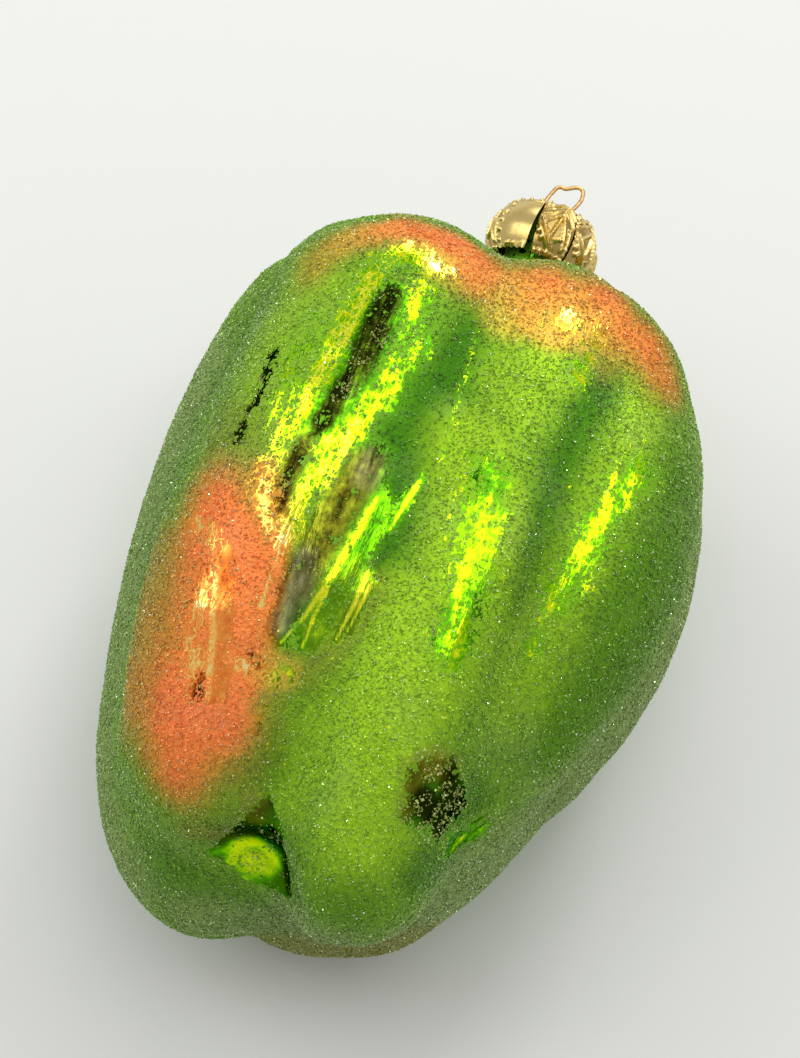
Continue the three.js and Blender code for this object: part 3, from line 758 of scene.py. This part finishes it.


# The lacquer's colours over the mirror and its painted reflections, shared by the skin and the grains that
# show them through.
def lacquerColours(tree):
    size = {name: perMetre(width) for name, width in lacquer.items()}
    place = add(tree, "TexCoord").outputs["Object"]
    stir = add(tree, "TexNoise", {"Vector": place, "Scale": size["stir"], "Detail": 2}).outputs["Color"]
    stirred = add(tree, "VectorMath", [stir, (0.0007, 0.0007, 0.0007), place], operation="MULTIPLY_ADD")
    lean = (-neckAxis.z, 0, 0)  # brings the drawn-out patterns in line with the neck
    lobes = add(tree, "Mapping", {"Vector": place, "Rotation": lean, "Scale": (1, 0.12, 1)})
    net = add(tree, "Mapping", {"Vector": stirred, "Rotation": lean, "Scale": (1, 0.55, 1)})
    painted = {name: add(tree, "Attribute", attribute_name=name).outputs["Fac"] for name in coatsAndPaintedLight}
    ragged = add(tree, "TexNoise", {"Vector": place, "Scale": size["rag"], "Detail": 4, "Roughness": 0.65})
    drift = add(tree, "TexNoise", {"Vector": place, "Scale": size["drift"], "Detail": 4})
    streaks = add(tree, "TexNoise", {
        "Vector": lobes, "Scale": size["streak"], "Detail": 4, "Roughness": 0.62})
    grains = add(tree, "TexVoronoi", {"Vector": place, "Scale": size["grain"], "Randomness": 1.0})
    shade = grains.outputs["Color"]
    gaps = add(tree, "TexVoronoi", {"Vector": net, "Scale": size["net"]}, feature="DISTANCE_TO_EDGE")
    lace = add(tree, "Math", [gaps, -7.0, 1.0], operation="MULTIPLY_ADD", use_clamp=True)

    # Bare patches: long torn edges, then single grains left on or missing
    torn = painted["bare"]
    for pattern, centre, strength in (
            (ragged, 0.5, 1.9), (streaks, 0.5, 1.3), (shade, 0.5, 0.45), (lace, 0.3, 0.3)):
        torn = swayed(tree, torn, pattern, centre, strength)
    mirror = climb(tree, torn, 0.6, 9.0)
    offRing = add(tree, "Math", [grains, 0.4], operation="SUBTRACT")
    offRing = add(tree, "Math", [offRing], operation="ABSOLUTE")
    ring = add(tree, "Math", [offRing, -9.0, 1.0], operation="MULTIPLY_ADD", use_clamp=True)
    share = add(tree, "Math", [painted["bare"], -0.7, 0.95], operation="MULTIPLY_ADD")
    ringed = add(tree, "Math", [shade, share], operation="LESS_THAN")
    ring = add(tree, "Math", [ring, ringed], operation="MULTIPLY")

    # Frosted lacquer, with a painted brighter green glow round the bare patches and a painted pale sheen
    # towards the outline
    warmth = swayed(tree, painted["warm"], drift, 0.5, 0.35)
    warmth = swayed(tree, warmth, ragged, 0.5, 0.16)
    hue = add(tree, "ValToRGB", [warmth], [
        (0.1, "#98982f"), (0.3, "#bb943a"), (0.5, "#dc923e"), (0.72, "#f38a43"), (0.95, "#ff9052")])
    cloud = add(tree, "Math", [climb(tree, drift, 0.52, 1.6), 0.5], operation="MULTIPLY")
    facing = add(tree, "LayerWeight", {"Blend": 0.5}).outputs["Facing"]
    # painted sheen: pale towards the outline, as the surface turns away from view
    edge = add(tree, "Math", [facing, 3.6], operation="POWER")
    edge = add(tree, "Math", [edge, 0.82], operation="MULTIPLY")
    frostCloudAndRimSheen = add(tree, "Math", [cloud, edge], operation="MAXIMUM")
    pale = overlaid(tree, "#adbd88", ("#c8a068", climb(tree, painted["warm"], 0.0, 1.8)))
    # painted glow: brighter green round the bare patches
    paintedGlowRoundBare = climb(tree, painted["bare"], 0.12, 0.9)
    hueShare = climb(tree, warmth, 0.03, 1.5)
    frosted = overlaid(
        tree, "#76a524", ("#3d780f", painted["emerald"]), ("#a0ca24", painted["limeAndCrestLight"]),
        ("#8aa55a", painted["paintedRimSheen"]), ("#8f8c38", painted["olive"]), ("#6aae1c", paintedGlowRoundBare), (hue, hueShare),
        ("#f2bc4c", painted["gold"]), (pale, frostCloudAndRimSheen))
    speck = add(tree, "ValToRGB", [shade], [(0.0, 0.78), (0.35, 0.93), (0.6, 1.0), (0.85, 1.1), (1.0, 1.3)])
    frosted = add(tree, "Mix", {0: 1.0, 6: frosted, 7: speck}, data_type="RGBA", blend_type="MULTIPLY")

    # Bare mirror: painted reflections in its colour, from painted dark reflection to painted highlight on the
    # wet lacquer
    tone = add(tree, "Math", [ragged, 0.5], operation="SUBTRACT")
    tone = swayed(tree, tone, streaks, 0.5, 1.4)
    for pattern, strength in ((lace, 0.42), (ring, -0.4)):
        lit = add(tree, "Math", [pattern, painted["paintedHighlight"]], operation="MULTIPLY")
        tone = add(tree, "Math", [lit, strength, tone], operation="MULTIPLY_ADD")
    lively = add(tree, "Math", [painted["still"], -1.0, 1.0], operation="MULTIPLY_ADD")
    tone = add(tree, "Math", [tone, lively, 0.4], operation="MULTIPLY_ADD")
    lift = add(tree, "Math", [painted["still"], 0.25, 0.2], operation="MULTIPLY_ADD")
    tone = add(tree, "Math", [painted["paintedHighlight"], lift, tone], operation="MULTIPLY_ADD")
    tone = add(tree, "Math", [painted["paintedShadeAndDarkReflection"], -0.42, tone], operation="MULTIPLY_ADD")
    greenPaintedReflection = add(tree, "ValToRGB", [tone], [
        (0.0, "#0b1003"), (0.18, "#223208"), (0.34, "#3a700e"), (0.48, "#54a40e"),
        (0.6, "#90ce10"), (0.72, "#d4ec18"), (0.86, "#f2f81a"), (1.0, "#fbfd4c")])
    warmPaintedReflection = add(tree, "ValToRGB", [tone], [
        (0.0, "#2e1206"), (0.22, "#6e3412"), (0.45, "#e0702c"), (0.66, "#ffa54c"), (0.85, "#ffd070"),
        (1.0, "#ffe39a")])
    olivePaintedReflection = add(tree, "ValToRGB", [tone], [
        (0.08, "#1c1905"), (0.36, "#6e6618"), (0.6, "#a0922a"), (0.85, "#e2d24a")])
    ashFlash = add(tree, "ValToRGB", [streaks], [(0.38, "#4a4a26"), (0.5, "#86815a"), (0.62, "#b4ae88")])
    warmShare = climb(tree, warmth, 0.24, 2.4)
    paintedReflection = overlaid(
        tree, greenPaintedReflection, (warmPaintedReflection, warmShare), (olivePaintedReflection, painted["olive"]), (ashFlash, painted["ash"]))
    return {"frosted": frosted, "paintedReflection": paintedReflection, "mirror": mirror, "bare": painted["bare"], "grains": grains,
            "streaks": streaks}


# Mirror-coated blown glass under transparent green and orange lacquer, frosted by its coat of fine glass
# grit: painted highlights, shade and reflections in its colour where it is bare, a soft fine-grained matt
# elsewhere.
def gritLacquer():
    material, tree = newMaterial("gritCoatedLacquer")
    look = lacquerColours(tree)
    frost = add(tree, "Math", [1.0, look["mirror"]], operation="SUBTRACT")
    seam = add(tree, "Attribute", attribute_name="seam").outputs["Fac"]
    seam = add(tree, "MapRange", {"Value": seam, "From Max": 0.6, "To Min": 1.0, "To Max": 0.0})
    relief = add(tree, "Bump", {"Height": seam, "Strength": 0.9, "Distance": 0.0003})
    wave = add(tree, "Bump", {
        "Height": look["streaks"], "Strength": 0.4, "Distance": 0.0003, "Normal": relief})
    crust = add(tree, "Math", [look["grains"], frost], operation="MULTIPLY")
    crust = add(tree, "Bump", {"Height": crust, "Strength": 0.4, "Distance": 0.0001, "Normal": wave})
    tint = overlaid(tree, look["frosted"], (look["paintedReflection"], look["mirror"]))
    metallic = add(tree, "Math", [frost, -0.45, 1.0], operation="MULTIPLY_ADD")
    roughness = add(tree, "Math", [frost, 0.4, 0.1], operation="MULTIPLY_ADD")
    sheen = add(tree, "Math", [frost, 0.15], operation="MULTIPLY")
    finish = add(tree, "BsdfPrincipled", {
        "Base Color": tint, "Metallic": metallic, "Roughness": roughness, "Normal": crust,
        "Sheen Weight": sheen, "Sheen Roughness": 0.4, "Sheen Tint": "#dfe8d4", "Specular Tint": "#8f9c70"})
    add(tree, "OutputMaterial", [finish])
    return material


# Angular glass grains: the lacquer under them, painted reflections included, shows through the middle, and
# each rim gets a painted pale highlight.
def glassGrains():
    material, tree = newMaterial("angularGlassGrains")
    look = lacquerColours(tree)
    milk = add(tree, "Attribute", attribute_name="milk").outputs["Fac"]
    facing = add(tree, "LayerWeight", {"Blend": 0.5}).outputs["Facing"]
    rim = add(tree, "Math", [facing, 1.6], operation="POWER")
    bare = climb(tree, look["bare"], 0.4, 4.0)
    through = overlaid(tree, look["paintedReflection"], ("#b9c65c", 0.5))
    through = overlaid(tree, look["frosted"], (through, bare))
    milky = add(tree, "ValToRGB", [milk], [(0.0, 0.85), (0.6, 1.05), (1.0, 1.35)])
    through = add(tree, "Mix", {0: 1.0, 6: through, 7: milky}, data_type="RGBA", blend_type="MULTIPLY")
    # painted highlight: a pale rim on each grain, stronger on the bare patches
    paintedRimHighlight = add(tree, "Math", [bare, 0.6, 0.18], operation="MULTIPLY_ADD")
    paintedRimHighlight = add(tree, "Math", [rim, paintedRimHighlight], operation="MULTIPLY", use_clamp=True)
    tint = overlaid(tree, through, ("#cfdc80", paintedRimHighlight))
    finish = add(tree, "BsdfPrincipled", {"Base Color": tint, "Metallic": 0.25, "Roughness": 0.3, "IOR": 1.5})
    add(tree, "OutputMaterial", [finish])
    return material


# Crushed clear glass: sharp facets that let the lacquer's colour through and flash white.
def clearSplinters():
    material, tree = newMaterial("crushedClearGlass")
    milk = add(tree, "Attribute", attribute_name="milk").outputs["Fac"]
    clear = add(tree, "ValToRGB", [milk], [(0.8, 1.0), (0.95, 0.4)])
    finish = add(tree, "BsdfPrincipled", {
        "Base Color": "#eaf5c8", "Roughness": 0.05, "IOR": 1.5, "Transmission Weight": clear})
    add(tree, "OutputMaterial", [finish])
    return material


glassPepper.data.materials.append(gritLacquer())
grainFinish = glassGrains()
splinterFinish = clearSplinters()
for piece in grainPieces + splinterPieces:
    piece.data.materials.append(grainFinish if piece in grainPieces else splinterFinish)
    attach(piece, "glass")
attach(glassPepper, "glass")
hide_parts("glass_pepper")

# Crown cap: eight pressed leaves round the neck, folded over a flat top with two holes
crownCap = {
    "top": 94.45, "fold": [(3.3, 94.42), (4.4, 94.45), (4.95, 94.38), (5.2, 94.18), (5.3, 93.9)],
    "topRadius": 5.3, "hem": 87.3, "hemRadius": 5.45, "belly": 1.15, "sheet": 0.28,
    "leaves": 8, "leafHalf": 2.3, "crown": 0.3,
    "firstSlit": 35.5, "slit": (0.1, 0.45), "oddSlits": {6: (0.02, 0.02), 7: (0.14, 0.85)},  # top, hem
    "columns": 42, "rows": 62, "plainLeaf": 6, "plainRecess": 0.45, "hemWave": 0.1, "hemFlare": 0.16,
    "discRadius": 3.75, "disc": (-0.3, 0.02),  # its faces, from the top
    "holeReach": 1.55, "holeRadius": 0.55, "edge": 0.08,
    "ridge": 0.4, "ridgeWidth": 0.2,
    "ridges": [
        [(-0.85, 0.40), (0.30, 0.22), (0.92, 0.50)], [(-0.80, 0.33), (0.32, 0.14)],
        [(0.36, 0.14), (0.98, 0.36)], [(-0.62, 0.56), (0.18, 0.36), (0.66, 0.86)],
        [(-0.80, 0.52), (0.28, 0.95)], [(-0.92, 0.60), (0.10, 0.97)], [(0.10, 0.46), (-0.16, 0.72)],
        [(0.46, 0.72), (-0.05, 0.80)], [(0.70, 0.56), (0.94, 0.90)],
    ],
    "beads": [(-0.78, 0.24), (-0.42, 0.33), (0.80, 0.27), (0.72, 0.62), (-0.84, 0.70), (-0.62, 0.78),
              (0.90, 0.80)],
    "bead": 0.36, "beadRadius": 0.34,
    "hemBeads": [-0.86, -0.5, -0.12, 0.26, 0.62, 0.92], "rimBeads": [-0.72, 0.0, 0.72],
}


# Height of the pressing over the plain sheet, in millimetres, at shares of a leaf's width and length.
def pressing(across, down, length, plain):
    cap = crownCap
    halfWidth = cap["leafHalf"]
    raised = np.zeros_like(across)
    spots = [(u, 0.18, 0.26) for u in cap["rimBeads"]]
    if plain:
        spots += [(-0.92, v, 0.34) for v in (0.3, 0.45, 0.6, 0.75, 0.9)]
        spots += [(-0.35, 0.95, 0.42), (0.0, 0.95, 0.42)]
    else:
        spots += [(u, v, cap["beadRadius"]) for u, v in cap["beads"]]
        spots += [(u, 0.955, cap["beadRadius"]) for u in cap["hemBeads"]]
    for u, v, radius in spots:
        off = np.hypot((across - u) * halfWidth, (down - v) * length) / radius
        raised = np.maximum(raised, cap["bead"] * np.sqrt(np.clip(1 - off * off, 0, 1)))
    for ridge in [] if plain else cap["ridges"]:
        for (u1, v1), (u2, v2) in zip(ridge, ridge[1:]):
            a = np.stack([(across - u1) * halfWidth, (down - v1) * length])
            b = np.array([(u2 - u1) * halfWidth, (v2 - v1) * length])
            t = np.clip((a[0] * b[0] + a[1] * b[1]) / (b @ b), 0, 1)
            off = np.hypot(a[0] - t * b[0], a[1] - t * b[1]) / cap["ridgeWidth"]
            raised = np.maximum(raised, cap["ridge"] * np.clip(1.25 - off, 0, 1))
    return raised


# One leaf: a grid laid down over the fold and the skirt, pressed, and given the sheet's thickness inwards.
def capLeaf(number):
    cap = crownCap
    plain = number == cap["plainLeaf"]
    bpy.ops.mesh.primitive_grid_add(x_subdivisions=cap["columns"], y_subdivisions=cap["rows"], size=2)
    leaf = bpy.context.object
    leaf.name = "capLeaf"
    flat = pointsOf(leaf)
    across, down = flat[:, 0], (1 - flat[:, 1]) / 2
    steps = np.linspace(0, 1, 25)
    bulge = cap["belly"] * 4 * steps * (1 - steps)
    radii = cap["topRadius"] + (cap["hemRadius"] - cap["topRadius"]) * steps + bulge
    heights = cap["fold"][-1][1] + (cap["hem"] - cap["fold"][-1][1]) * steps
    line = np.array(cap["fold"][:-1] + list(zip(radii, heights)))
    run = np.concatenate([[0], np.cumsum(np.hypot(*np.diff(line, axis=0).T))])
    radius = np.interp(down * run[-1], run, line[:, 0])
    height = np.interp(down * run[-1], run, line[:, 1])
    fine = np.linspace(0, 1, 200)
    slope = np.gradient(np.interp(fine * run[-1], run, line[:, 1]))
    flatness = 1 - np.clip(-np.interp(down, fine, slope) / (run[-1] / len(fine)), 0, 1)
    before = cap["oddSlits"].get(number, cap["slit"])
    after = cap["oddSlits"].get(number + 1, cap["slit"])
    widening = np.clip((down - 0.2) / 0.8, 0, 1) ** 1.3
    left, right = (top + (hem - top) * widening for top, hem in (before, after))
    slit = np.where(across < 0, left, right)
    halfTurn = 180 / cap["leaves"] - np.degrees(slit / 2 / radius)
    raised = pressing(across, down, run[-1], plain)
    skirtShare = np.clip((down - 0.14) / 0.2, 0, 1)
    radius = radius - cap["crown"] * across ** 2 * skirtShare + raised * (1 - flatness)
    height = height + raised * flatness
    hemShare = np.clip((down - 0.9) / 0.1, 0, 1)
    height -= cap["hemWave"] * np.cos(across * 15.0 + number) * hemShare
    radius += cap["hemFlare"] * hemShare * (1 + 0.5 * np.sin(across * 11.0 + 2 * number))
    if plain:
        corner = np.clip((across - 0.15) / 0.85, 0, 1) * np.clip((down - 0.55) / 0.45, 0, 1)
        height += 0.3 * np.clip((down - 0.5) / 0.5, 0, 1)
        radius += 0.2 * corner + skirtShare * (0.42 * across ** 2 - 0.1)
    middleTurn = cap["firstSlit"] + 180 / cap["leaves"] + 360 / cap["leaves"] * number
    points = [spot(middleTurn + u * half, r, h) for u, half, r, h in zip(across, halfTurn, radius, height)]
    putPoints(leaf, points)
    # painted shade: on the sheet between the pressed ridges and beads
    recess = np.clip(1 - raised / cap["ridge"], 0, 1) * skirtShare
    if plain:
        recess[:] = cap["plainRecess"]
    keepAttribute(leaf, "recess", recess)
    finishMesh(leaf)
    centre = spot(0, 0, (cap["top"] + cap["hem"]) / 2)
    if sum((face.center - centre).dot(face.normal) for face in leaf.data.polygons) < 0:
        pick(leaf, "FACE", lambda face: True)
        bpy.ops.mesh.flip_normals()
        bpy.ops.object.mode_set(mode="OBJECT")
    modify(leaf, "SOLIDIFY", thickness=cap["sheet"] / 1000, offset=-1)
    return leaf


def cylinderAt(bearing, reach, low, high, radius, sides):
    centre = spot(bearing, reach, (low + high) / 2)
    turn = neckAxis.to_track_quat("Z", "Y").to_euler()
    bpy.ops.mesh.primitive_cylinder_add(vertices=sides, radius=radius / 1000, depth=(high - low) / 1000,
                                        location=centre, rotation=turn)
    piece = bpy.context.object
    bpy.ops.object.transform_apply(location=True, rotation=True, scale=True)
    return piece


def capTop():
    cap = crownCap
    top = cap["top"]
    low, high = cap["disc"]
    disc = cylinderAt(0, 0, top + low, top + high, cap["discRadius"], 72)
    for side in (-1, 1):
        drill = cylinderAt(holeBearing, side * cap["holeReach"], top - 1, top + 1, cap["holeRadius"], 24)
        modify(disc, "BOOLEAN", object=drill, operation="DIFFERENCE", solver="EXACT")
        bpy.data.objects.remove(drill)
    modify(disc, "BEVEL", width=cap["edge"] / 1000, segments=2, limit_method="ANGLE")
    return disc


def join(pieces, name):
    only(pieces[0])
    for piece in pieces[1:]:
        piece.select_set(True)
    bpy.ops.object.join()
    pieces[0].name = pieces[0].data.name = name
    return pieces[0]


capPiece = join([capTop()] + [capLeaf(number) for number in range(crownCap["leaves"])], "crownCapMetal")
only(capPiece)
bpy.ops.object.shade_smooth_by_angle(angle=math.radians(50))
print("crown cap pressed:", len(capPiece.data.polygons), "faces")

# Wire hanger: two legs down through the holes into the neck, and a small bent eye
wireHanger = {
    "radius": 0.25,
    "leg": [(2.05, -8.5), (2.05, -4.25), (1.675, -1.633), (1.55, -0.35), (1.55, 0.25), (1.55, 1.3)],
    "reach": 2.55, "height": 5.25,
    "eye": [(0.9, 0.55), (1, 0.78), (0.88, 0.95), (0.65, 0.97), (0.35, 0.9), (0.12, 0.84), (-0.18, 0.83),
            (-0.4, 0.65)],  # shares of reach and height
}


def bentWire():
    wire = wireHanger
    bends = wire["leg"] + [(u * wire["reach"], h * wire["height"]) for u, h in wire["eye"]]
    bends += [(-u, h) for u, h in reversed(wire["leg"])]
    line = bpy.data.curves.new("wireLine", "CURVE")
    line.dimensions = "3D"
    line.bevel_depth = wire["radius"] / 1000
    line.bevel_resolution = 6
    line.resolution_u = 10
    line.use_fill_caps = True
    run = line.splines.new("BEZIER")
    run.bezier_points.add(len(bends) - 1)
    for point, (u, h) in zip(run.bezier_points, bends):
        point.co = spot(holeBearing, u, crownCap["top"] + h)
        point.handle_left_type = point.handle_right_type = "AUTO"
    piece = bpy.data.objects.new("bentWireHanger", line)
    bpy.context.scene.collection.objects.link(piece)
    only(piece)
    bpy.ops.object.convert(target="MESH")
    piece = bpy.context.object
    finishMesh(piece, 50)
    return piece


wirePiece = bentWire()
print("wire bent:", len(wirePiece.data.polygons), "faces")


# Thin brass sheet, pressed and gold-tinted: smooth satin where it is flat, with painted shade where the
# pressing is deep.
def pressedBrass():
    material, tree = newMaterial("pressedBrassSheet")
    place = add(tree, "TexCoord").outputs["Object"]
    cloud = add(tree, "TexNoise", {"Vector": place, "Scale": perMetre(1.11), "Detail": 5, "Roughness": 0.6})
    recess = add(tree, "Attribute", attribute_name="recess").outputs["Fac"]
    # painted shade in the pressing
    recessShade = add(tree, "Math", [recess, 0.75], operation="MULTIPLY")
    worn = add(tree, "ValToRGB", [cloud], [(0.45, 0.0), (0.75, 0.8)])
    tint = overlaid(tree, "#ecd48c", ("#86692e", recessShade), ("#c8a95c", worn))
    roughness = add(tree, "ValToRGB", [cloud], [(0.3, 0.16), (0.75, 0.34)])
    dents = add(tree, "Bump", {"Height": cloud, "Strength": 0.25, "Distance": 0.0001})
    finish = add(tree, "BsdfPrincipled", {
        "Base Color": tint, "Metallic": 1.0, "Roughness": roughness, "Normal": dents})
    add(tree, "OutputMaterial", [finish])
    return material


# Drawn brass wire: a long soft glint with faint scratches from the die.
def drawnBrassWire():
    material, tree = newMaterial("drawnBrassWire")
    place = add(tree, "TexCoord").outputs["Object"]
    worn = add(tree, "TexNoise", {"Vector": place, "Scale": perMetre(0.385), "Detail": 3})
    tint = add(tree, "ValToRGB", [worn], [(0.35, "#b88f58"), (0.7, "#d9b681")])
    roughness = add(tree, "ValToRGB", [worn], [(0.3, 0.2), (0.7, 0.36)])
    finish = add(tree, "BsdfPrincipled", {"Base Color": tint, "Metallic": 1.0, "Roughness": roughness})
    add(tree, "OutputMaterial", [finish])
    return material


capPiece.data.materials.clear()
capPiece.data.materials.append(pressedBrass())
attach(capPiece, "cap")
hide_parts("crown_cap")
wirePiece.data.materials.append(drawnBrassWire())
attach(wirePiece, "hanger")
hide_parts("wire_hanger")

# Studio: a pale floor under soft boxes
studio = {
    "floor": 3.0, "floorColour": "#efefec", "middle": 0.029,
    "world": 0.34, "reflected": 0.7, "backdrop": "#eceae7",
    "boxes": [
        # name, direction from the ornament, distance, size, watts
        ("overhead", (0.12, 0.26, 0.95), 0.75, (0.7, 0.7), 2.4),
        ("left", (-0.72, 0.05, 0.70), 0.7, (0.4, 0.6), 1.3),
        ("back", (-0.25, 0.92, 0.32), 0.8, (0.5, 0.25), 0.7),
        ("right", (0.80, 0.35, 0.45), 0.8, (0.25, 0.4), 0.4),
        ("key", (0.14, 0.84, 0.52), 0.9, (0.25, 0.2), 1.8),
    ],
}
middle = Vector((0, 0, studio["middle"]))
bpy.ops.mesh.primitive_plane_add(size=studio["floor"], location=(0, 0, 0))
floor = bpy.context.object
floor.name = "studioFloor"
floorMaterial, tree = newMaterial("palePaper")
finish = add(tree, "BsdfPrincipled", {
    "Base Color": studio["floorColour"], "Roughness": 0.9, "Specular IOR Level": 0.2})
add(tree, "OutputMaterial", [finish])
floor.data.materials.append(floorMaterial)

world = bpy.data.worlds.new("studioWorld")
bpy.context.scene.world = world
world.use_nodes = True
tree = world.node_tree
tree.nodes.clear()
rays = add(tree, "LightPath").outputs
seen = [rays["Is Camera Ray"], rays["Is Transmission Ray"]]
seen = add(tree, "Math", seen, operation="ADD", use_clamp=True)
extra = studio["reflected"] - studio["world"]
level = add(tree, "Math", [rays["Is Glossy Ray"], extra, studio["world"]], operation="MULTIPLY_ADD")
soft = add(tree, "Background", ["#ffffff", level])
pale = add(tree, "Background", [studio["backdrop"], 1.0])
add(tree, "OutputWorld", [add(tree, "MixShader", [seen, soft, pale])])

for name, direction, distance, size, watts in studio["boxes"]:
    lamp = bpy.data.lights.new(name + "Box", "AREA")
    lamp.shape = "RECTANGLE"
    lamp.size, lamp.size_y = size
    lamp.energy = watts
    holder = bpy.data.objects.new(name + "Box", lamp)
    bpy.context.scene.collection.objects.link(holder)
    away = Vector(direction).normalized()
    holder.location = middle + away * distance
    holder.rotation_euler = away.to_track_quat("Z", "Y").to_euler()

scene = bpy.context.scene
scene.view_settings.view_transform = "Standard"
print("studio lit")
